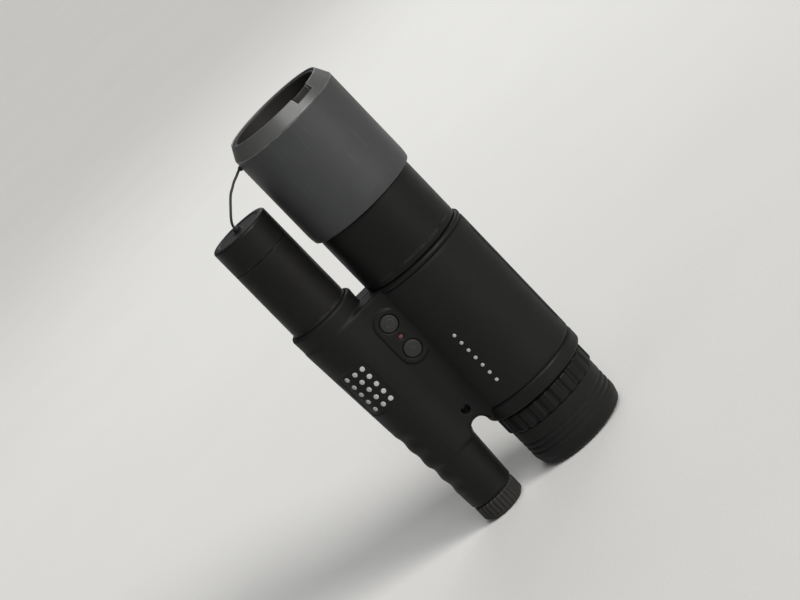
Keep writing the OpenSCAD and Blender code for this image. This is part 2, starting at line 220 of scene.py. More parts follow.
def lathe(name, corners, centre=(0, 0), segments=160, ripple=None, steps=5):
    """A solid turned about a vertical axis from corners (r, z, fillet radius) in millimetres.

    ripple(angle, r, z) says how far a point moves outwards.
    """
    outline = fillet(corners, steps)
    verts, faces = [], []
    rings = []
    for point in outline:
        if point.x < 1e-6:
            rings.append([len(verts)])
            verts.append(Vector((centre[0], centre[1], point.y * MM)))
            continue
        ring = []
        for k in range(segments):
            a = 2 * math.pi * k / segments
            r = (point.x + (ripple(a, point.x, point.y) if ripple else 0)) * MM
            ring.append(len(verts))
            verts.append(Vector((centre[0] + r * math.cos(a), centre[1] + r * math.sin(a), point.y * MM)))
        rings.append(ring)
    for i, one in enumerate(rings):
        two = rings[(i + 1) % len(rings)]
        if len(one) == 1 and len(two) == 1:
            continue
        for k in range(segments):
            n = (k + 1) % segments
            quad = [one[k % len(one)], one[n % len(one)], two[n % len(two)], two[k % len(two)]]
            faces.append(list(dict.fromkeys(quad)))
    thing = mesh_object(name, verts, faces)
    weigh_normals(thing)
    return thing


def weigh_normals(thing):
    modifier = thing.modifiers.new("weighted", "WEIGHTED_NORMAL")
    modifier.keep_sharp = True
    modifier.weight = 80


def aim_along(thing, direction, place):
    """Turns a mesh built along +Z so that it points along direction, and moves it to place."""
    turn = Vector((0, 0, 1)).rotation_difference(Vector(direction)).to_matrix().to_4x4()
    thing.data.transform(Matrix.Translation(Vector(place)) @ turn)
    return thing


def join(name, things):
    verts, faces = [], []
    for thing in things:
        base = len(verts)
        verts += [v.co.copy() for v in thing.data.vertices]
        faces += [[base + v for v in f.vertices] for f in thing.data.polygons]
        bpy.data.objects.remove(thing)
    joined = mesh_object(name, verts, faces)
    weigh_normals(joined)
    return joined


def skin_over(name, verts, sides):
    """A closed skin over rings of points, with this many sides to each ring."""
    faces = []
    last = len(verts) - sides
    for start in range(0, last, sides):
        for k in range(sides):
            n = (k + 1) % sides
            faces.append((start + k, start + n, start + sides + n, start + sides + k))
    faces.append(tuple(range(sides - 1, -1, -1)))
    faces.append(tuple(last + k for k in range(sides)))
    return mesh_object(name, verts, faces)


def box_mesh(name, low, high):
    verts = [(x, y, z) for x in (low[0], high[0]) for y in (low[1], high[1]) for z in (low[2], high[2])]
    faces = [(0, 1, 3, 2), (4, 6, 7, 5), (0, 4, 5, 1), (2, 3, 7, 6), (0, 2, 6, 4), (1, 5, 7, 3)]
    return mesh_object(name, verts, faces, smooth=False)


def cut_away(thing, cutter):
    """Takes the cutter's volume out of the piece and removes the cutter."""
    modifier = thing.modifiers.new("cut", "BOOLEAN")
    modifier.operation = "DIFFERENCE"
    modifier.solver = "EXACT"
    modifier.object = cutter
    thing.modifiers.move(len(thing.modifiers) - 1, 0)
    bpy.context.view_layer.update()
    done = bpy.data.meshes.new_from_object(
        thing.evaluated_get(bpy.context.evaluated_depsgraph_get()))
    thing.modifiers.clear()
    thing.data = done
    bpy.data.objects.remove(cutter)
    thing.data.shade_smooth()
    thing.data.set_sharp_from_angle(angle=math.radians(40))
    weigh_normals(thing)
    return thing


# Signed distances, in millimetres on numpy arrays, for the moulded shapes with blended corners

def smooth_min(a, b, k):
    """The smaller of two distances, blended over a width k where they are close."""
    h = np.clip(0.5 + 0.5 * (b - a) / k, 0, 1)
    return b + (a - b) * h - k * h * (1 - h)


def smooth_step(edge0, edge1, x):
    """0 at edge0 and before, 1 at edge1 and beyond, with a soft rise between them."""
    t = np.clip((x - edge0) / (edge1 - edge0), 0, 1)
    return t * t * (3 - 2 * t)


def sd_slab(across, along, half, low, high, rounding):
    """Rounded box in two measures: across within half, and along from low to high."""
    qa = across - half + rounding
    qb = np.abs(along - (low + high) / 2) - (high - low) / 2 + rounding
    outside = np.hypot(np.maximum(qa, 0), np.maximum(qb, 0))
    return outside + np.minimum(np.maximum(qa, qb), 0) - rounding


def field_mesh(name, field, low, high, voxel):
    """The closed surface where field(x, y, z) is zero, with normals from the field itself."""
    band, reach = 3.0, 0.2
    low = np.array(low, float)
    voxel = np.broadcast_to(np.array(voxel, float), 3)
    axes = [np.arange(a, b + v, v) for a, b, v in zip(low, high, voxel)]
    x, y, z = np.meshgrid(*axes, indexing="ij", sparse=True)
    values = field(x, y, z) / voxel.min()
    grid = openvdb.FloatGrid(band)
    grid.copyFromArray(np.clip(values, -band, band).astype(np.float32))
    points, triangles, quads = grid.convertToPolygons(isovalue=0.0, adaptivity=0.0)
    points = points.astype(float) * voxel + low
    mesh = bpy.data.meshes.new(name)
    faces = [list(map(int, f)) for f in quads] + [list(map(int, f)) for f in triangles]
    mesh.from_pydata([tuple(p * MM) for p in points], [], faces)
    face_outwards(mesh)
    slopes = []
    for axis in range(3):
        ahead, behind = points.copy(), points.copy()
        ahead[:, axis] += reach
        behind[:, axis] -= reach
        slopes.append(field(*ahead.T) - field(*behind.T))
    normals = np.stack(slopes, 1)
    normals /= np.maximum(np.linalg.norm(normals, axis=1), 1e-9)[:, None]
    mesh.shade_smooth()
    mesh.normals_split_custom_set_from_vertices([tuple(n) for n in normals])
    return add_object(name, mesh)


# Materials

class Graph:
    """A material's node tree, with one short call for each kind of node."""

    def __init__(self, name, base, roughness, metallic=0.0, ior=1.5, **fixed):
        self.material = bpy.data.materials.new(name)
        self.material.use_nodes = True
        self.tree = self.material.node_tree
        self.shader = self.tree.nodes["Principled BSDF"]
        self.material.diffuse_color = (*base, 1)
        self.set("Base Color", (*base, 1))
        self.set("Roughness", roughness)
        self.set("Metallic", metallic)
        self.set("IOR", ior)
        for socket, value in fixed.items():
            self.set(socket.replace("_", " ").title().replace("Ior", "IOR"), value)
        self.coords = self.node("ShaderNodeTexCoord").outputs["Object"]

    def set(self, socket, value):
        self.shader.inputs[socket].default_value = value

    def node(self, kind, **settings):
        made = self.tree.nodes.new(kind)
        for key, value in settings.items():
            setattr(made, key, value)
        return made

    def feed(self, socket, value):
        if isinstance(value, bpy.types.NodeSocket):
            self.tree.links.new(value, socket)
        else:
            socket.default_value = value

    def to(self, socket, value):
        self.feed(self.shader.inputs[socket], value)

    def stretched(self, scale):
        node = self.node("ShaderNodeMapping")
        self.feed(node.inputs["Vector"], self.coords)
        node.inputs["Scale"].default_value = scale
        return node.outputs["Vector"]

    def noise(self, scale, detail=3.0, roughness=0.55, vector=None):
        node = self.node("ShaderNodeTexNoise")
        self.feed(node.inputs["Vector"], vector or self.coords)
        node.inputs["Scale"].default_value = scale
        node.inputs["Detail"].default_value = detail
        node.inputs["Roughness"].default_value = roughness
        return node.outputs["Fac"]

    def span(self, value, low, high, to_low=0.0, to_high=1.0):
        node = self.node("ShaderNodeMapRange", interpolation_type="SMOOTHSTEP")
        self.feed(node.inputs["Value"], value)
        node.inputs["From Min"].default_value = low
        node.inputs["From Max"].default_value = high
        node.inputs["To Min"].default_value = to_low
        node.inputs["To Max"].default_value = to_high
        return node.outputs["Result"]

    def calc(self, a, b, operation="ADD"):
        node = self.node("ShaderNodeMath", operation=operation)
        self.feed(node.inputs[0], a)
        self.feed(node.inputs[1], b)
        return node.outputs[0]

    def mix(self, share, a, b):
        node = self.node("ShaderNodeMix", data_type="RGBA")
        self.feed(node.inputs["Factor"], share)
        self.feed(node.inputs["A"], a if isinstance(a, bpy.types.NodeSocket) else (*a, 1))
        self.feed(node.inputs["B"], b if isinstance(b, bpy.types.NodeSocket) else (*b, 1))
        return node.outputs["Result"]

    def bump(self, height, depth, under=None):
        node = self.node("ShaderNodeBump")
        node.inputs["Distance"].default_value = depth
        self.feed(node.inputs["Height"], height)
        if under:
            self.feed(node.inputs["Normal"], under)
        return node.outputs["Normal"]

    def edges(self, radius):
        """About 0 on flat and gently curved faces, rising to 1 on outside and inside corners."""
        bevel = self.node("ShaderNodeBevel", samples=4)
        bevel.inputs["Radius"].default_value = radius
        geometry = self.node("ShaderNodeNewGeometry")
        node = self.node("ShaderNodeVectorMath", operation="DOT_PRODUCT")
        self.feed(node.inputs[0], bevel.outputs["Normal"])
        self.feed(node.inputs[1], geometry.outputs["Normal"])
        return self.span(node.outputs["Value"], 0.995, 0.93)


def tint(colour, factor):
    return tuple(min(1.0, c * factor) for c in colour)


def moulded(name, base, roughness, grain=1800, grain_depth=0.00003, worn=None, rub=0.5, **fixed):
    """Moulded plastic or rubber: spark grain, faint mottling, handling smudges and rubbed corners."""
    g = Graph(name, base, roughness, specular_ior_level=0.15, **fixed)
    mottle = g.noise(45, 4)
    colour = g.mix(mottle, tint(base, 0.82), tint(base, 1.2))
    specks = g.span(g.noise(900, 2, 0.7), 0.62, 0.75)
    colour = g.mix(g.calc(specks, 0.35, "MULTIPLY"), colour, tint(base, 1.9))
    smudge = g.span(g.noise(28, 5, 0.65), 0.35, 0.7)
    g.to("Roughness", g.calc(g.span(smudge, 0, 1, roughness - 0.06, roughness + 0.07),
                            g.span(g.noise(grain, 2), 0.3, 0.7, -0.04, 0.04)))
    if worn:
        patches = g.span(g.noise(140, 5, 0.7), 0.38, 0.62)
        share = g.calc(g.calc(g.edges(0.0006), patches, "MULTIPLY"), rub, "MULTIPLY")
        colour = g.mix(share, colour, worn)
    g.to("Base Color", colour)
    coarse = g.bump(g.noise(grain * 0.3, 3), grain_depth * 0.9)
    g.to("Normal", g.bump(g.noise(grain, 3, 0.6), grain_depth, coarse))
    return g.material


def turned_metal(name, base, roughness, metallic=0.85, bright=None, ring_depth=0.000012, **fixed):
    """Turned and anodised metal: fine lathe rings, soft mottling, hairline scratches, bright corners."""
    g = Graph(name, base, roughness, metallic=metallic, **fixed)
    mottle = g.noise(60, 4)
    colour = g.mix(mottle, tint(base, 0.86), tint(base, 1.14))
    hair = g.span(g.noise(1, 3, 0.6, g.stretched((900, 900, 60))), 0.6, 0.72)
    colour = g.mix(g.calc(hair, 0.25, "MULTIPLY"), colour, tint(base, 1.8))
    if bright:
        patches = g.span(g.noise(160, 5, 0.7), 0.35, 0.6)
        share = g.calc(g.calc(g.edges(0.0005), patches, "MULTIPLY"), 0.6, "MULTIPLY")
        colour = g.mix(share, colour, bright)
    g.to("Base Color", colour)
    smudge = g.noise(30, 5, 0.65)
    g.to("Roughness", g.span(smudge, 0.3, 0.7, roughness - 0.06, roughness + 0.08))
    rings = g.noise(1, 2, 0.5, g.stretched((20, 20, 2600)))
    g.to("Normal", g.bump(rings, ring_depth, g.bump(g.noise(2200, 2), ring_depth)))
    return g.material


def optical_glass(name, base, coat):
    """Coated glass: a tinted coating that thins in patches, with faint dust."""
    g = Graph(name, base, 0.03, ior=1.6, transmission_weight=0.7, coat_weight=1.0, coat_roughness=0.02)
    haze = g.noise(50, 3)
    g.to("Base Color", g.mix(haze, base, coat))
    dust = g.span(g.noise(1500, 2, 0.7), 0.66, 0.78)
    g.to("Roughness", g.span(dust, 0, 1, 0.03, 0.35))
    return g.material


def braided(name, base, route_pitch):
    """Braided cord: two sets of crossing strands and a little fuzz. Its colour follows the weave, with
    painted shade in the gaps between strands and painted highlight on their crowns.
    """
    g = Graph(name, base, 0.85, sheen_weight=0.25, sheen_roughness=0.5)
    strands = []
    for turn in (0.7, -0.7):
        mapping = g.node("ShaderNodeMapping")
        g.feed(mapping.inputs["Vector"], g.coords)
        mapping.inputs["Rotation"].default_value = (0, turn, 0)
        wave = g.node("ShaderNodeTexWave", wave_type="BANDS", bands_direction="X")
        g.feed(wave.inputs["Vector"], mapping.outputs["Vector"])
        wave.inputs["Scale"].default_value = 1 / route_pitch
        wave.inputs["Distortion"].default_value = 1.5
        strands.append(wave.outputs["Fac"])
    weave = g.calc(strands[0], strands[1], "MAXIMUM")
    # Painted shade in the gaps between strands and painted highlight on the strand crowns, driven by the
    # same weave height as the bump
    g.to("Base Color", g.mix(weave, tint(base, 0.5), tint(base, 1.8)))
    fuzz = g.bump(g.noise(4000, 2), 0.00003)
    g.to("Normal", g.bump(weave, 0.00012, fuzz))
    return g.material


def circuit(name, base, track):
    """Solder resist over copper tracks."""
    g = Graph(name, base, 0.35, coat_weight=0.4)
    grid = g.node("ShaderNodeTexBrick")
    g.feed(grid.inputs["Vector"], g.stretched((500, 500, 300)))
    lines = g.span(grid.outputs["Fac"], 0.4, 0.6)
    g.to("Base Color", g.mix(lines, base, track))
    g.to("Roughness", g.span(g.noise(200, 3), 0.3, 0.7, 0.25, 0.45))
    g.to("Normal", g.bump(lines, 0.00003))
    return g.material


INK = (0.009, 0.009, 0.0088)
SHELL = moulded("shell_black", (0.0058, 0.0058, 0.0056), 0.52, worn=(0.035, 0.035, 0.034), rub=0.35)
ARMOUR = moulded("armour_rubber", (0.0052, 0.0052, 0.005), 0.68, grain=2600, grain_depth=0.00004,
                 worn=(0.028, 0.028, 0.027), rub=0.4, sheen_weight=0.04)
EYECUP = moulded("eyecup_rubber", (0.006, 0.006, 0.0058), 0.72, grain=1500, worn=(0.03, 0.03, 0.03),
                 rub=0.4, sheen_weight=0.05)
GASKET = moulded("gasket_rubber", INK, 0.75, grain_depth=0.00002)
RING = moulded("ring_black", (0.0047, 0.0047, 0.0045), 0.5, grain=2400, grain_depth=0.00002,
               worn=(0.06, 0.06, 0.058), rub=0.4)
CAP = moulded("cap_black", (0.018, 0.017, 0.016), 0.55, grain=2000, worn=(0.05, 0.049, 0.047), rub=0.45)
IR_TUBE = moulded("ir_tube_black", (0.0054, 0.0052, 0.0049), 0.46, grain=2200, grain_depth=0.00002,
                  worn=(0.06, 0.058, 0.054), rub=0.5)
BUTTON = moulded("button_rubber", (0.02, 0.02, 0.0195), 0.6, grain=1400, worn=(0.06, 0.06, 0.06))
LIGHT = moulded("light_plastic", (0.34, 0.34, 0.33), 0.42, grain=1500, grain_depth=0.00001)
HOLDER = moulded("holder_plastic", (0.5, 0.48, 0.4), 0.5)
SWITCH = moulded("switch_plastic", (0.5, 0.5, 0.47), 0.4)
POTTING = moulded("component_brown", (0.06, 0.045, 0.03), 0.3, coat_weight=0.3)
BARREL = turned_metal("barrel_grey", (0.042, 0.044, 0.044), 0.5, metallic=0.3, specular_ior_level=0.3,
                      bright=(0.2, 0.2, 0.2))
RIM = turned_metal("rim_light", (0.052, 0.052, 0.05), 0.36, metallic=0.0, specular_ior_level=0.7,
                   bright=(0.25, 0.25, 0.24))
DARK_METAL = turned_metal("dark_metal", (0.03, 0.03, 0.032), 0.4)
BARE_METAL = turned_metal("bare_metal", (0.6, 0.6, 0.61), 0.3, metallic=1.0)
TUBE_METAL = turned_metal("tube_metal", (0.1, 0.11, 0.12), 0.45)
STEEL = turned_metal("screw_steel", (0.28, 0.28, 0.28), 0.32, metallic=1.0, bright=(0.7, 0.7, 0.7))
BRASS = turned_metal("brass", (0.5, 0.36, 0.14), 0.3, metallic=1.0, bright=(0.8, 0.65, 0.35))
SLEEVE = turned_metal("battery_steel", (0.2, 0.21, 0.22), 0.4, metallic=0.3)
LENS_GLASS = optical_glass("coated_glass", (0.16, 0.2, 0.34), (0.3, 0.16, 0.34))
TUBE_GLASS = optical_glass("tube_glass", (0.2, 0.42, 0.24), (0.26, 0.5, 0.3))
WINDOW = optical_glass("window_red", (0.12, 0.006, 0.006), (0.2, 0.01, 0.01))
CORD = braided("cord_black", (0.012, 0.012, 0.012), 0.0012)
BOARD = circuit("board_green", (0.01, 0.09, 0.03), (0.03, 0.2, 0.08))

CAD_LOOKS = {
    "gasket_rubber": GASKET, "screw_steel": STEEL, "dark_metal": DARK_METAL, "coated_glass": LENS_GLASS,
    "tube_glass": TUBE_GLASS, "tube_metal": TUBE_METAL, "holder_plastic": HOLDER,
    "bare_metal": BARE_METAL, "board_green": BOARD, "component_brown": POTTING,
    "switch_plastic": SWITCH, "battery_steel": SLEEVE, "brass": BRASS, "shell_black": SHELL,
    "armour_rubber": ARMOUR, "eyecup_rubber": EYECUP, "light_plastic": LIGHT, "ring_black": RING,
    "barrel_grey": BARREL, "rim_light": RIM, "cap_black": CAP, "cord_black": CORD,
    "button_rubber": BUTTON, "window_red": WINDOW, "ir_tube_black": IR_TUBE,
}


def paint_cad():
    """Gives every CAD node the material of its slot."""
    slots = {s["node"]: s["material_slot"] for s in frame["record"]["subparts"]}
    for name, thing in nodes.items():
        thing.data.materials.clear()
        thing.data.materials.append(CAD_LOOKS[slots[name]])


paint_cad()


def fit(thing, material, body, *stands_for, slot):
    """Paints a piece, puts it on its body and hides the CAD nodes that it stands for."""
    thing.data.materials.clear()
    thing.data.materials.append(material)
    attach(thing, body)
    if stands_for:
        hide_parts(*stands_for)
    return thing


# Housing: two moulded halves that blend the lens barrel, the bridge and the side lobe

side_mm = side_x / MM
z0_mm, z1_mm = housing_z0 / MM, housing_z1 / MM
shell_mm, flange_mm = shell_r / MM, housing_r / MM
armour_z0_mm, armour_z1_mm = armour_low.z / MM, armour_high.z / MM
lobe_z0_mm, lobe_z1_mm = lobe_z0 / MM, lobe_z1 / MM
bridge_mm = bridge_deep / MM
button_mm = button_x / MM
ir_mm = (ir_high.x - ir_low.x) / 2 / MM
power_z, ir_button_z = (power_low.z + power_high.z) / 2 / MM, (ir_button_low.z + ir_button_high.z) / 2 / MM
button_r = (power_high.x - power_low.x) / 2 / MM - 0.5

# The sizes that no box gives, in millimetres
GASKET_HALF = 0.25
WALL, END_WALL = 2.2, 2
BATTERY_BORE_R, BATTERY_BORE_Z1 = 8.9, 50
CHAMBER_R, CHAMBER_Z0 = 10.5, 62
SOCKET_Z0 = 98
BAY_HALF_X, BAY_Y = 4.5, 9.5
BAY_Z0, BAY_REAR_Z0, BAY_Z1 = 56, 69, 97
BRIDGE_SLIM, BRIDGE_SLIM_UP, BRIDGE_FULL_Z = 2.5, 8, 84
ARCH_X, ARCH_R, ARCH_UP = -28.9, 4.6, 3
LANYARD_R, LANYARD_Z = 2, 43.5
PAD_R, PAD_HALF_W, PAD_HALF_H, PAD_PROUD = 6.2, 0.01, 7, 0.75
WINDOW_BORE_R = 1.25
BOSS_R, SOCKET_R = 6.6, 4.4
SCALLOP_Z0, SCALLOP_Z1, SCALLOP_PITCH, SCALLOP_D = 18, 54, 9, 0.6
SCALLOP_FADE, SCALLOP_SIDES = 3, (0.75, 1.15)
PANEL_EDGE, PANEL_D = (1.6, 2.4), 0.35
BARREL_BLEND, LOBE_BLEND, ARCH_BLEND = 5, 3.5, 2.5
END_BLEND, PAD_BLEND, BOSS_BLEND = 1.2, 0.8, 1
LOBE_ROUND, FOOT_ROUND, SHOULDER_ROUND = 1.3, 1.4, 1.2
SEAM_EDGE, BORE_EDGE = 0.5, 0.45
KEY_GAP = 0.22
SCREW_AT = [(-28, 50.5), (-27.2, 101), (side_mm, 56)]
SCREW_R, SCREW_HEAD_R, SCREW_HEAD_T = 1.25, 2.3, 2
SCREW_SEAT_Y, SCREW_TIP_Y = 8.5, -8
VOXEL = 0.5


def bridge_depth(z):
    """How far the bridge reaches to the front and to the back at height z."""
    return bridge_mm - BRIDGE_SLIM * (1 - smooth_step(z0_mm + BRIDGE_SLIM_UP, BRIDGE_FULL_Z, z))


def screw_distance(x, z):
    """How far a point in the front view is from the nearest screw's axis."""
    return np.minimum.reduce([np.hypot(x - a, z - b) for a, b in SCREW_AT])


def grip_scallops(x, y, z):
    """Shallow finger grooves on the outer side of the lobe."""
    angle = np.arctan2(y, side_mm - x)
    reach = 1 - smooth_step(*SCALLOP_SIDES, np.abs(angle))
    rise = smooth_step(SCALLOP_Z0 - SCALLOP_FADE, SCALLOP_Z0, z)
    span = rise * (1 - smooth_step(SCALLOP_Z1, SCALLOP_Z1 + SCALLOP_FADE, z))
    wave = 0.5 - 0.5 * np.cos(2 * math.pi * (z - SCALLOP_Z0) / SCALLOP_PITCH)
    return SCALLOP_D * reach * span * wave


def dot_panel(x, y, z):
    """A slightly sunk panel round the square of light dots."""
    low, high = dots_low / MM, dots_high / MM
    dx = np.abs(x - (low.x + high.x) / 2) - (high.x - low.x) / 2 + 0.5
    dz = np.abs(z - (low.z + high.z) / 2) - (high.z - low.z) / 2 + 0.1
    away = np.hypot(np.maximum(dx, 0), np.maximum(dz, 0))
    return PANEL_D * (1 - smooth_step(*PANEL_EDGE, away)) * (y < 0)


def housing_skin(x, y, z):
    """The outside of the housing, before anything is hollowed out."""
    bridge = np.maximum(np.abs(y) - bridge_depth(z), np.maximum(x, side_mm + 2 - x))
    arch = ARCH_R - np.hypot(x - ARCH_X, z - z0_mm - ARCH_UP)
    bridge = -smooth_min(-bridge, -arch, ARCH_BLEND)
    lobe_wall = np.hypot(x - side_mm, y) - lobe_radius(z * MM) / MM
    lobe = sd_slab(lobe_wall, z, 0, lobe_z0_mm, lobe_z1_mm, LOBE_ROUND)
    across = np.hypot(x, y)
    cross = smooth_min(across - shell_mm, smooth_min(bridge, lobe_wall, LOBE_BLEND), BARREL_BLEND)
    body = sd_slab(cross, z, 0, z0_mm + ARCH_UP, z1_mm, SHOULDER_ROUND)
    foot = sd_slab(across, z, flange_mm, z0_mm, armour_z0_mm, FOOT_ROUND)
    shoulder = sd_slab(across, z, flange_mm, armour_z1_mm, z1_mm, SHOULDER_ROUND)
    drum = np.minimum(foot, shoulder)
    skin = smooth_min(np.minimum(body, drum), lobe, END_BLEND)
    return skin + grip_scallops(x, y, z) + dot_panel(x, y, z)


def hollows(x, y, z):
    """The spaces inside the housing, which are negative where there is no plastic."""
    across, across_lobe = np.hypot(x, y), np.hypot(x - side_mm, y)
    bay_low = BAY_Z0 + (BAY_REAR_Z0 - BAY_Z0) * (y > 0)
    bay = np.maximum(np.abs(x - button_mm) - BAY_HALF_X, np.abs(y) - BAY_Y)
    spaces = [
        sd_slab(across, z, shell_mm - WALL, z0_mm + END_WALL, z1_mm - END_WALL, 0),
        across - (NECK_R / MM + 0.2),
        sd_slab(across_lobe, z, BATTERY_BORE_R, 0, BATTERY_BORE_Z1, 0),
        sd_slab(across_lobe, z, CHAMBER_R, CHAMBER_Z0, SOCKET_Z0 + 0.1, 0),
        sd_slab(across_lobe, z, ir_mm, SOCKET_Z0, 2 * lobe_z1_mm, 0),
        np.maximum(bay, np.abs(z - (bay_low + BAY_Z1) / 2) - (BAY_Z1 - bay_low) / 2),
        np.hypot(x - ARCH_X, z - LANYARD_Z) - LANYARD_R,
    ]
    return np.minimum.reduce(np.broadcast_arrays(*spaces))


def front_field(x, y, z):
    skin = housing_skin(x, y, z)
    pad_x = np.abs(x - button_mm) - PAD_HALF_W
    pad_z = np.maximum(np.abs(z - (power_z + ir_button_z) / 2) - PAD_HALF_H, 0)
    pad = sd_slab(np.hypot(pad_x, pad_z), y, PAD_R, -bridge_mm - PAD_PROUD, 3 - bridge_mm, 0.5)
    skin = smooth_min(skin, pad, PAD_BLEND)
    through = y + BAY_Y - 0.5
    bores = np.hypot(x - button_mm, np.minimum(np.abs(z - power_z), np.abs(z - ir_button_z)))
    bores = np.maximum(bores - button_r - KEY_GAP, through)
    window = np.hypot(x - button_mm, z - (window_low.z + window_high.z) / 2 / MM)
    window = np.maximum(window - WINDOW_BORE_R, through)
    pilots = np.maximum(screw_distance(x, z) - SCREW_R - 0.05, SCREW_TIP_Y - 0.2 - y)
    solid = -smooth_min(-skin, -y - GASKET_HALF, SEAM_EDGE)
    cut = np.minimum(np.minimum(bores, window), np.minimum(hollows(x, y, z), pilots))
    return -smooth_min(-solid, cut, BORE_EDGE)


def rear_field(x, y, z):
    skin = housing_skin(x, y, z)
    across = np.hypot(x - button_mm, z - (tripod_low.z + tripod_high.z) / 2 / MM)
    boss = sd_slab(across, y, BOSS_R, tripod_low.y / MM + 1, tripod_high.y / MM, 0.5)
    skin = smooth_min(skin, boss, BOSS_BLEND)
    wells = screw_distance(x, z)
    wells = np.minimum(wells - SCREW_R - 0.1, np.maximum(wells - SCREW_HEAD_R - 0.2, SCREW_SEAT_Y - y))
    socket = np.maximum(across - SOCKET_R, tripod_low.y / MM - 1 - y)
    solid = -smooth_min(-skin, y - GASKET_HALF, SEAM_EDGE)
    cut = np.minimum(np.minimum(wells, socket), hollows(x, y, z))
    return -smooth_min(-solid, cut, BORE_EDGE)


def gasket_field(x, y, z):
    solid = np.maximum(housing_skin(x, y, z) + 0.2, np.abs(y) - GASKET_HALF)
    wells = screw_distance(x, z) - SCREW_R - 0.1
    return np.maximum(solid, -np.minimum(hollows(x, y, z), wells))


def make_housing():
    x0, x1 = shell_low.x / MM - 1, flange_mm + 1
    z0, z1 = lobe_z0_mm - 1, lobe_z1_mm + 1
    front = field_mesh("housing_front_half", front_field, (x0, -x1, z0), (x1, 0.6, z1), VOXEL)
    rear = field_mesh("housing_rear_half", rear_field, (x0, -0.6, z0), (x1, x1, z1), VOXEL)
    seal = field_mesh("housing_gasket", gasket_field, (x0, -0.55, z0), (x1, 0.55, z1), (VOXEL, 0.11, VOXEL))
    fit(front, SHELL, "housing", "front_shell", slot="shell_black")
    fit(rear, SHELL, "housing", "rear_shell", slot="shell_black")
    fit(seal, GASKET, "housing", "shell_gasket", slot="gasket_rubber")
    return front


front_half = make_housing()


# Rubber armour: a wrap that is open towards the bridge, smooth in front and grooved elsewhere

ARMOUR_OPEN = math.asin((bridge_deep + 0.6 * MM) / housing_r) + 0.02
GROOVE_PITCH = math.radians(8)
GROOVE_D = 0.55 * MM
ARMOUR_EDGE = 1.1 * MM
GROOVES_FROM, GROOVES_TO, GROOVES_FADE = -0.4, 2.45, 0.1


def armour_groove(angle, z):
    """Depth of the lengthways grip grooves at an angle from +X and a height."""
    clear = smooth_step(GROOVES_FROM, GROOVES_FROM + GROOVES_FADE, angle)
    mid = (armour_low.z + armour_high.z) / 2
    half = (armour_high.z - armour_low.z) / 2
    ends = 1 - smooth_step(half - 8 * MM, half - 5.5 * MM, abs(z - mid))
    wave = smooth_step(0.35, 0.75, 0.5 + 0.5 * math.cos(2 * math.pi * angle / GROOVE_PITCH))
    late = 1 - smooth_step(GROOVES_TO - GROOVES_FADE, GROOVES_TO, angle)
    return GROOVE_D * float(clear * ends * wave * late)


def make_armour():
    span = math.pi - ARMOUR_OPEN
    rows, columns = 46, 560
    inner, outer = shell_r + 0.02 * MM, housing_r
    verts, faces = [], []
    for j in range(rows + 1):
        v = j / rows
        v = 0.5 - 0.5 * math.cos(math.pi * v) * (1 - 0.35 * math.sin(math.pi * v) ** 2)
        z = armour_low.z + (armour_high.z - armour_low.z) * v
        for i in range(columns + 1):
            angle = -span + 2 * span * i / columns
            gap = min(z - armour_low.z, armour_high.z - z, (span - abs(angle)) * housing_r)
            fall = ARMOUR_EDGE - math.sqrt(max(0.0, ARMOUR_EDGE ** 2 - max(0.0, ARMOUR_EDGE - gap) ** 2))
            r = max(inner + 0.05 * MM, outer - min(fall, ARMOUR_T * 0.9) - armour_groove(angle, z))
            verts.append((r * math.cos(angle), r * math.sin(angle), z))
    count = len(verts)
    for x, y, z in verts[:count]:
        turn = math.atan2(y, x)
        verts.append((inner * math.cos(turn), inner * math.sin(turn), z))
    wide = columns + 1
    for j in range(rows):
        for i in range(columns):
            a = j * wide + i
            faces.append((a, a + 1, a + wide + 1, a + wide))
            faces.append((count + a, count + a + wide, count + a + wide + 1, count + a + 1))
    rim = ([i for i in range(wide)] + [j * wide + columns for j in range(1, rows + 1)]
           + [rows * wide + i for i in range(columns - 1, -1, -1)]
           + [j * wide for j in range(rows - 1, 0, -1)])
    for a, b in zip(rim, rim[1:] + rim[:1]):
        faces.append((a, b, count + b, count + a))
    armour = mesh_object("barrel_grip", verts, faces)
    weigh_normals(armour)
    return fit(armour, ARMOUR, "housing", "barrel_armour", slot="armour_rubber")


barrel_grip = make_armour()


# Light dots, each standing on the surface below it

def surface_below(thing, x, z):
    """Where a line from the front meets a piece, and which way its surface faces there."""
    hit, place, normal, _ = thing.ray_cast(Vector((x, -0.1, z)), Vector((0, 1, 0)))
    return (place, normal) if hit else (Vector((x, 0, z)), Vector((0, -1, 0)))


def dot_mesh(name, r):
    """A low domed pin of radius r in millimetres, with its foot in the surface."""
    return lathe(name, [(0, -0.9, 0), (r, -0.9, 0), (r, 0.24, 0.22), (0, 0.34, 0)], segments=28, steps=4)


def make_dots(name, under, columns, rows, r, node):
    pins = []
    for x in columns:
        for z in rows:
            place, normal = surface_below(under, x, z)
            pins.append(aim_along(dot_mesh("pin", r), normal, place))
    dots = join(name, pins)
    return fit(dots, LIGHT, "housing", node, slot="light_plastic")


def spread(low, high, count):
    return [low + (high - low) * k / (count - 1) for k in range(count)]


DOT_R, DOT_COLUMNS, DOT_ROWS = 1.1 * MM, 3, 5
INDEX_R, INDEX_ROWS = 0.8 * MM, 7
make_dots("side_dot_square", front_half, spread(dots_low.x + DOT_R, dots_high.x - DOT_R, DOT_COLUMNS),
          spread(dots_low.z + DOT_R, dots_high.z - DOT_R, DOT_ROWS), DOT_R / MM, "grip_dots")
make_dots("index_dot_row", barrel_grip, [(index_low.x + index_high.x) / 2],
          spread(index_low.z + INDEX_R, index_high.z - INDEX_R, INDEX_ROWS), INDEX_R / MM, "index_dots")


# Lens end: focus ring, barrel, light rim, cap and tab

MARK_UP, MARK_SUNK = 5.7 * MM, 0.35 * MM


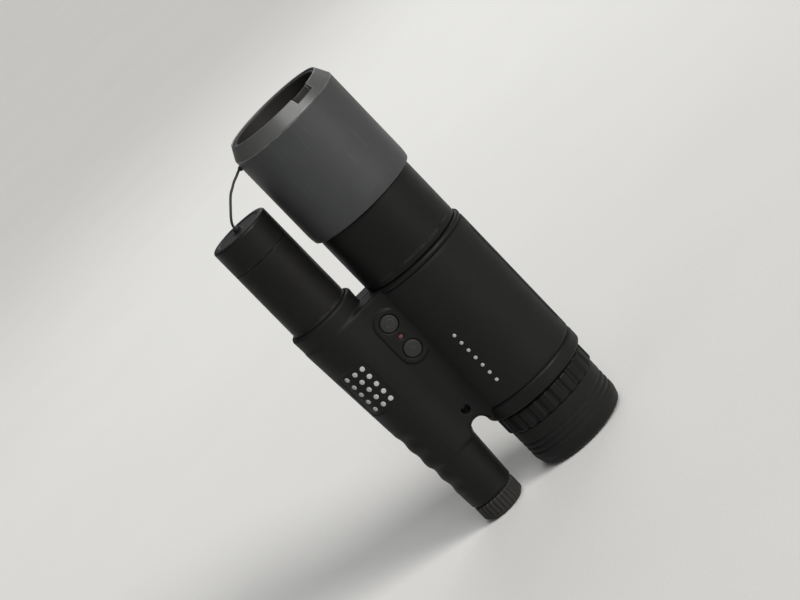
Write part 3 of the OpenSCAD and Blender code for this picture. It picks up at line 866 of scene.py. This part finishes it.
def make_focus_ring():
    low, high = focus_low.z / MM, focus_high.z / MM
    inner, outer = NECK_R / MM + 0.05, focus_high.x / MM
    corners = [(inner, low, 0.2), (outer - 0.25, low, 0.5), (outer, low + 1.6, 1.2),
               (outer, low + 2.6, 0.1), (outer - 0.3, low + 2.75, 0.1), (outer - 0.3, low + 3.15, 0.1),
               (outer, low + 3.3, 0.1), (outer, high - 3, 1), (outer - 0.1, high, 0.6), (inner, high, 0.2)]
    ring = lathe("focus_ring_turned", corners, segments=200)
    mark = lathe("focus_mark", [(0, -0.6, 0), (1, -0.6, 0), (1, 0.05, 0.1), (0, 0.1, 0)], segments=28)
    aim_along(mark, (0, 1, 0), (0, focus_high.y - MARK_SUNK, focus_low.z + MARK_UP))
    fit(ring, RING, "focus_ring", "focus_ring", slot="ring_black")
    fit(mark, LIGHT, "focus_ring", slot="ring_black")


THUMB_ANGLE = math.radians(-60)
THUMB_W = 10 * MM
THUMB_DEEP = 3 * MM
NOTCH_HALF = 2.1 * MM
CELL_BORE_R = 22
MOUTH_DEEP = 6.7
CAP_WALL = 1.5
CAP_FLOOR = 2
CAP_RIBS = (17, 12, 7)
TAB_HALF = 1.7


def notch_cutter(z):
    """The slot that the cap's tab passes through, from height z upwards."""
    return box_mesh("notch", (-housing_r * 2, -NOTCH_HALF, z), (-MOUTH_R / 2, NOTCH_HALF, cad_high.z * 1.5))


def thumb_cutter(z):
    """The notch in the front right of the rim, where a thumb gets under the cap."""
    half = THUMB_W / 2
    cutter = box_mesh("thumb", (MOUTH_R - 0.5 * MM, -half, z), (rim_high.x + MM, half, rim_high.z + MM))
    cutter.data.transform(Matrix.Rotation(THUMB_ANGLE, 4, "Z"))
    return cutter


def make_lens_barrel():
    low, high = barrel_low.z / MM, barrel_high.z / MM
    inner, mouth, rim = NECK_R / MM, MOUTH_R / MM, barrel_high.x / MM
    corners = [(inner, low, 0.2), (rim - 0.5, low, 0.6), (rim - 0.15, low + 2, 1), (rim, low + 4, 1),
               (rim, high - 0.02, 0.1), (mouth, high - 0.02, 0.1), (mouth, high - MOUTH_DEEP, 0.1),
               (CELL_BORE_R, high - MOUTH_DEEP, 0.1), (CELL_BORE_R, low + 6, 0.1), (inner, low + 6, 0.1)]
    barrel = lathe("lens_barrel", corners, segments=220, steps=6)
    cut_away(barrel, notch_cutter((TETHER_MM[0][2] - 1.3) * MM))
    fit(barrel, BARREL, "housing", "objective_barrel", slot="barrel_grey")
    top = rim_high.z / MM
    ring = lathe("lens_rim", [(mouth, high, 0.05), (rim, high, 0.05), (rim, high + 0.5, 0.8),
                              (mouth + 0.7, top, 0.3), (mouth + 0.25, top, 0.15), (mouth, top - 0.25, 0.1)],
                 segments=220)
    cut_away(ring, notch_cutter(high * MM - 0.001))
    cut_away(ring, thumb_cutter(rim_high.z - THUMB_DEEP))
    fit(ring, RIM, "housing", "rim_ring", slot="rim_light")


def make_lens_cap():
    floor, top = cap_low.z / MM, cap_high.z / MM
    outer = MOUTH_R / MM - 0.1
    inner, base = outer - CAP_WALL, floor + CAP_FLOOR
    corners = [(0, floor, 0), (outer, floor, 0.4), (outer, top, 0.45), (inner, top, 0.6),
               (inner, base, 1.2)]
    for r in CAP_RIBS:
        corners += [(r + 0.9, base, 0.2), (r + 0.6, base + 0.35, 0.2), (r - 0.6, base + 0.35, 0.2),
                    (r - 0.9, base, 0.2)]
    corners.append((0, base, 0))
    cup = lathe("lens_cap_cup", corners, segments=200)
    tab_z = TETHER_MM[0][2]
    rows, sides = 16, 14
    verts = []
    for i in range(rows + 1):
        x = -inner - 0.3 + (cap_low.x / MM + inner + 0.3) * math.sin(math.pi / 2 * i / rows)
        swell = math.sqrt(max(0.02, 1 - (i / rows) ** 6))
        for k in range(sides):
            a = 2 * math.pi * (k + 0.5) / sides
            y = TAB_HALF * swell * math.copysign(abs(math.cos(a)) ** 0.35, math.cos(a))
            z = tab_z + math.copysign(abs(math.sin(a)) ** 0.35, math.sin(a))
            verts.append((x * MM, y * MM, z * MM))
    tab = skin_over("cap_tab", verts, sides)
    crimp = lathe("tab_crimp", [(0, -0.4, 0), (0.75, -0.4, 0.1), (0.75, 0.5, 0.3), (0, 0.55, 0)],
                  segments=28)
    aim_along(crimp, (-1, 0, 0), Vector(TETHER_MM[0]) * MM)
    fit(join("lens_cap", [cup, tab]), CAP, "objective_cap", "objective_cap", slot="cap_black")
    fit(crimp, CAP, "objective_cap", slot="cap_black")


make_focus_ring()
make_lens_barrel()
make_lens_cap()


# Illuminator tube beside the lens barrel

TUBE_BORE_R, TUBE_STEP_R = 11.2, 11.9
TUBE_END_T = 2.5
POST_R = 1.5


def make_side_tube():
    centre = (side_x, 0)
    r = ir_cap_high.x / MM - side_mm
    low, seam, top = ir_low.z / MM, ir_cap_low.z / MM, ir_cap_high.z / MM
    under, groove = top - TUBE_END_T, lobe_z1_mm + 0.6
    tube = lathe("side_tube", [
        (TUBE_BORE_R, low, 0.2), (r, low, 0.3), (r, groove, 0.1), (r - 0.25, groove + 0.2, 0.1),
        (r - 0.25, groove + 0.8, 0.1), (r, groove + 1, 0.1), (r, seam - 0.25, 0.25),
        (TUBE_STEP_R, seam - 0.05, 0.1), (TUBE_STEP_R, under - 0.1, 0.3), (TUBE_BORE_R, under - 0.1, 0.3)],
        centre, segments=160)
    fit(tube, IR_TUBE, "housing", "ir_barrel", slot="ir_tube_black")
    cover = lathe("side_tube_cap", [
        (TUBE_STEP_R + 0.05, seam, 0.1), (r, seam, 0.3), (r, top, 2.2), (r - 3, top, 0.4),
        (r - 3.7, top - 0.35, 0.4), (2.8, top - 0.35, 0.3), (2.4, top, 0.2), (0, top, 0), (0, under, 0),
        (TUBE_STEP_R + 0.05, under, 0.2)], centre, segments=160)
    fit(cover, IR_TUBE, "housing", "ir_cap", slot="ir_tube_black")
    z0, z1 = post_low.z / MM - 0.1, post_high.z / MM
    post = lathe("tether_eye", [(0, z0, 0), (POST_R, z0, 0), (POST_R, z1 - 0.35, 0.35), (0.9, z1, 0.2),
                                (0, z1, 0)], centre, segments=48)
    fit(post, CAP, "housing", "tether_post", slot="ir_tube_black")


make_side_tube()


# The cord between the caps

def tube_along(name, path, r, first, last, sides=16):
    """A round tube on a path, with rings that don't twist and flat ends across first and last."""
    verts = []
    up = Vector((0, 1, 0))
    ways = [Vector(first)] + [b - a for a, b in zip(path, path[2:])] + [Vector(last)]
    for point, ahead in zip(path, ways):
        ahead.normalize()
        side = up.cross(ahead).normalized()
        up = ahead.cross(side).normalized()
        for k in range(sides):
            a = 2 * math.pi * k / sides
            verts.append(point + r * (math.cos(a) * side + math.sin(a) * up))
    return skin_over(name, verts, sides)


def make_tether():
    path = smooth_route(TETHER_MM, 3)
    cord = tube_along("tether_cord", path, TETHER_D / 2, (-1, 0, 0), (0, 0, -1))
    cord.data.materials.append(CORD)
    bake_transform(cord)
    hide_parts("cap_tether")


make_tether()


# Eyepiece end

EYE_MOUTH_R = 17
SLEEVE_R = 19.05
HUB_R = 20.6
EYECUP_GROOVES = (8.6, 11.2, 13.8)
DIOPTRE_TEETH, DIOPTRE_TOOTH_D = 24, 0.75


def make_eyepiece():
    outer, mouth = eyecup_high.x / MM, EYE_MOUTH_R
    top, low = dioptre_low.z / MM, eyecup_low.z / MM
    wall_top = eyecup_high.z / MM
    corners = [(mouth, low + 0.4, 0.5), (mouth + 1.4, low, 1), (outer - 1.2, low + 1.2, 2.4),
               (outer, low + 5.4, 2.5)]
    for z in EYECUP_GROOVES:
        corners += [(outer, z - 0.9, 0.35), (outer - 0.75, z, 0.4), (outer, z + 0.9, 0.35)]
    corners += [(outer, wall_top, 0.5), (HUB_R + 0.05, wall_top, 0.1), (HUB_R + 0.05, top - 0.3, 0.1),
                (mouth, top - 0.3, 0.5), (mouth, low + 8, 0.5), (mouth - 0.02, low + 3, 0.5)]
    cup = lathe("eyecup_soft", corners, segments=180)
    fit(cup, EYECUP, "dioptre_ring", "eyecup", slot="eyecup_rubber")

    ring_r, ring_low, ring_high = dioptre_high.x / MM, wall_top, dioptre_high.z / MM

    def knurl(a, r, z):
        if r < ring_r - 1.2 or z < ring_low - 0.01:
            return 0
        return -DIOPTRE_TOOTH_D * float(smooth_step(0.45, 0.95, 0.5 + 0.5 * math.cos(DIOPTRE_TEETH * a)))

    ring = lathe("dioptre_knurl", [
        (SLEEVE_R, top, 0.1), (HUB_R, top, 0.1), (HUB_R, ring_low, 0.1), (ring_r - 1, ring_low, 0.3),
        (ring_r, ring_low + 1, 0.7), (ring_r, ring_high - 1, 0.7), (ring_r - 1, ring_high, 0.3),
        (SLEEVE_R, ring_high, 0.1)], segments=DIOPTRE_TEETH * 16, ripple=knurl)
    fit(ring, RING, "dioptre_ring", "dioptre_ring", slot="ring_black")


make_eyepiece()


# Battery cap with a coin slot

PLUG_R = 8.82
PLUG_Z1 = 12
SEAL_Z0, SEAL_Z1 = 9.2, 10.8
LID_TEETH, LID_TOOTH_D = 30, 0.45
COIN_LENGTH, COIN_HALF, COIN_DEEP = 14 * MM, 1 * MM, 1.8 * MM


def make_battery_cap():
    r, top = (battery_high.x - battery_low.x) / 2 / MM, (lobe_z0 - END_GAP) / MM

    def knurl(a, radius, z):
        if radius < r - 0.9 or z > top + 0.01 or z < 0.8:
            return 0
        return -LID_TOOTH_D * float(smooth_step(0.5, 0.95, 0.5 + 0.5 * math.cos(LID_TEETH * a)))

    cap = lathe("battery_lid", [
        (0, 0, 0), (r - 1.6, 0, 0.3), (r, 1.5, 0.8), (r, top - 0.7, 0.3), (r - 0.5, top, 0.2),
        (PLUG_R, top, 0.1), (PLUG_R, SEAL_Z0, 0.1), (PLUG_R - 1.05, SEAL_Z0, 0.1),
        (PLUG_R - 1.05, SEAL_Z1, 0.1), (PLUG_R, SEAL_Z1, 0.1), (PLUG_R, PLUG_Z1, 0.3), (0, PLUG_Z1, 0)],
        (side_x, 0), segments=LID_TEETH * 12, ripple=knurl)
    cut_away(cap, box_mesh("coin", (side_x - COIN_LENGTH / 2, -COIN_HALF, -MM),
                           (side_x + COIN_LENGTH / 2, COIN_HALF, COIN_DEEP)))
    fit(cap, CAP, "battery_cap", "battery_cap", slot="cap_black")


make_battery_cap()


# Buttons and window in front

BUTTON_STEM_R = 1.2
BUTTON_FLANGE = 0.5


def make_button(name, low, high, marks, body):
    """A rubber push button that faces -Y, with raised marks to find it by touch."""
    face, back = -low.y / MM, -high.y / MM
    r, seat = (high.x - low.x) / 2 / MM - BUTTON_FLANGE, BAY_Y - 0.1
    base = lathe(name + "_key", [
        (0, back, 0), (BUTTON_STEM_R, back, 0.1), (BUTTON_STEM_R, seat - 0.9, 0.1),
        (r + BUTTON_FLANGE, seat - 1, 0.1), (r + BUTTON_FLANGE, seat, 0.1), (r, seat, 0.1),
        (r, face - 0.35, 0.9), (0, face - 0.12, 0)], segments=72, steps=6)
    parts = [base] + [lathe(name + "_mark", m, segments=48) for m in marks(face)]
    key = join(name, parts)
    aim_along(key, (0, -1, 0), ((low.x + high.x) / 2, 0, (low.z + high.z) / 2))
    fit(key, BUTTON, body, body, slot="button_rubber")


def ring_mark(face):
    return [[(1.3, face - 0.3, 0), (2, face - 0.3, 0), (2, face, 0.12), (1.3, face, 0.12)]]


def dot_mark(face):
    return [[(0, face - 0.3, 0), (0.8, face - 0.3, 0), (0.8, face - 0.02, 0.15), (0, face, 0)]]


make_button("power_key", power_low, power_high, ring_mark, "power_button")
make_button("illuminator_key", ir_button_low, ir_button_high, dot_mark, "ir_button")


def make_window():
    r = (window_high.x - window_low.x) / 2 / MM
    lens = lathe("status_lens", [(0, BAY_Y, 0), (r, BAY_Y, 0), (r, -window_low.y / MM - 0.25, 0.3),
                                 (0, -window_low.y / MM, 0)], segments=40)
    aim_along(lens, (0, -1, 0), ((window_low.x + window_high.x) / 2, 0, (window_low.z + window_high.z) / 2))
    fit(lens, WINDOW, "housing", "status_window", slot="window_red")


make_window()


# Fixings at the back

HEX_R, HEX_DEEP = 1.15, 1.3


def make_screws():
    screws = []
    top = SCREW_SEAT_Y + SCREW_HEAD_T
    for x, z in SCREW_AT:
        screw = lathe("screw", [
            (0, SCREW_TIP_Y, 0), (1.0, SCREW_TIP_Y, 0.2), (SCREW_R, SCREW_TIP_Y + 1, 0.1),
            (SCREW_R, SCREW_SEAT_Y, 0.05), (SCREW_HEAD_R, SCREW_SEAT_Y, 0.05),
            (SCREW_HEAD_R, top - 0.2, 0.3), (1.9, top, 0.2), (0, top, 0)], segments=48)
        socket = lathe("socket", [(0, top - HEX_DEEP, 0), (HEX_R, top - HEX_DEEP, 0),
                                  (HEX_R, top + 1.5, 0), (0, top + 1.5, 0)], segments=6)
        cut_away(screw, socket)
        screws.append(aim_along(screw, (0, 1, 0), (x * MM, 0, z * MM)))
    fit(join("shell_screw_set", screws), STEEL, "housing", "shell_screws", slot="screw_steel")


THREAD_BORE_R = 2.6
THREAD_PITCH = 1.27
THREAD_DEEP = 0.55


def make_tripod_socket():
    low, high = tripod_low.y / MM, tripod_high.y / MM
    r, bore, step = (tripod_high.x - tripod_low.x) / 2 / MM, THREAD_BORE_R, THREAD_PITCH / 8
    floor, mouth = low + 1, high - 0.5
    wall = [(bore + 0.001 * (k % 2), mouth - k * step, 0) for k in range(int((mouth - floor) / step))]

    def thread(a, radius, z):
        if radius > bore + 0.1 or radius < bore - 0.1:
            return 0
        turn = (z / THREAD_PITCH + a / (2 * math.pi)) % 1
        return THREAD_DEEP * abs(2 * turn - 1)

    insert = lathe("tripod_thread", [(0, low, 0), (r, low, 0.3), (r, high, 0.3), (bore + 0.8, high, 0.1)]
                   + wall + [(bore, floor, 0), (0, floor, 0)], segments=96, ripple=thread)
    middle = (tripod_low + tripod_high) / 2
    aim_along(insert, (0, 1, 0), (middle.x, 0, middle.z))
    fit(insert, BRASS, "housing", "tripod_insert", slot="brass")


make_screws()
make_tripod_socket()


# Floor and lights

FLOOR_HALF = 60
FLOOR_GAP = 0.5 * MM


def make_floor():
    floor = box_mesh("floor", (-FLOOR_HALF, -FLOOR_HALF, -20 * MM), (FLOOR_HALF, FLOOR_HALF, -FLOOR_GAP))
    g = Graph("studio_floor", (0.72, 0.715, 0.7), 0.8, specular_ior_level=0.1)
    paper = g.mix(g.noise(8, 4), (0.7, 0.695, 0.68), (0.74, 0.735, 0.72))
    g.to("Base Color", paper)
    g.to("Normal", g.bump(g.noise(600, 3), 0.00008))
    floor.data.materials.append(g.material)


def soft_light(name, kind, place, energy, colour, **settings):
    """A soft lamp that faces the middle of the object."""
    lamp = bpy.data.lights.new(name, kind)
    lamp.energy = energy
    lamp.color = colour
    for key, value in settings.items():
        setattr(lamp, key, value)
    thing = add_object(name, lamp)
    centre = (cad_low + cad_high) / 2
    thing.location = place
    thing.rotation_mode = "QUATERNION"
    thing.rotation_quaternion = (centre - Vector(place)).to_track_quat("-Z", "Y")


SKY_LIGHT = 0.17
SKY_SEEN = 0.6


def make_world():
    """An even sky, which the eye sees about as light as the floor, so that the horizon is faint."""
    world = bpy.data.worlds.new("studio")
    bpy.context.scene.world = world
    world.use_nodes = True
    tree = world.node_tree
    back = tree.nodes["Background"]
    back.inputs["Color"].default_value = (1, 0.995, 0.985, 1)
    seen = tree.nodes.new("ShaderNodeLightPath")
    strength = tree.nodes.new("ShaderNodeMapRange")
    strength.inputs["To Min"].default_value = SKY_LIGHT
    strength.inputs["To Max"].default_value = SKY_SEEN
    tree.links.new(seen.outputs["Is Camera Ray"], strength.inputs["Value"])
    tree.links.new(strength.outputs["Result"], back.inputs["Strength"])


make_floor()
soft_light("key", "SUN", (0.68, -0.74, 0.58), 3.1, (1, 0.99, 0.97), angle=math.radians(27))
soft_light("top", "SUN", (0.1, -0.7, 0.83), 0.9, (1, 1, 1), angle=math.radians(24))
soft_light("fill", "AREA", (-0.9, -0.8, 0.5), 1, (0.95, 0.98, 1), size=0.9)
soft_light("back", "AREA", (0.45, 1.05, 0.9), 5, (0.97, 0.99, 1), size=1)
make_world()
bpy.context.scene.view_settings.view_transform = "Standard"
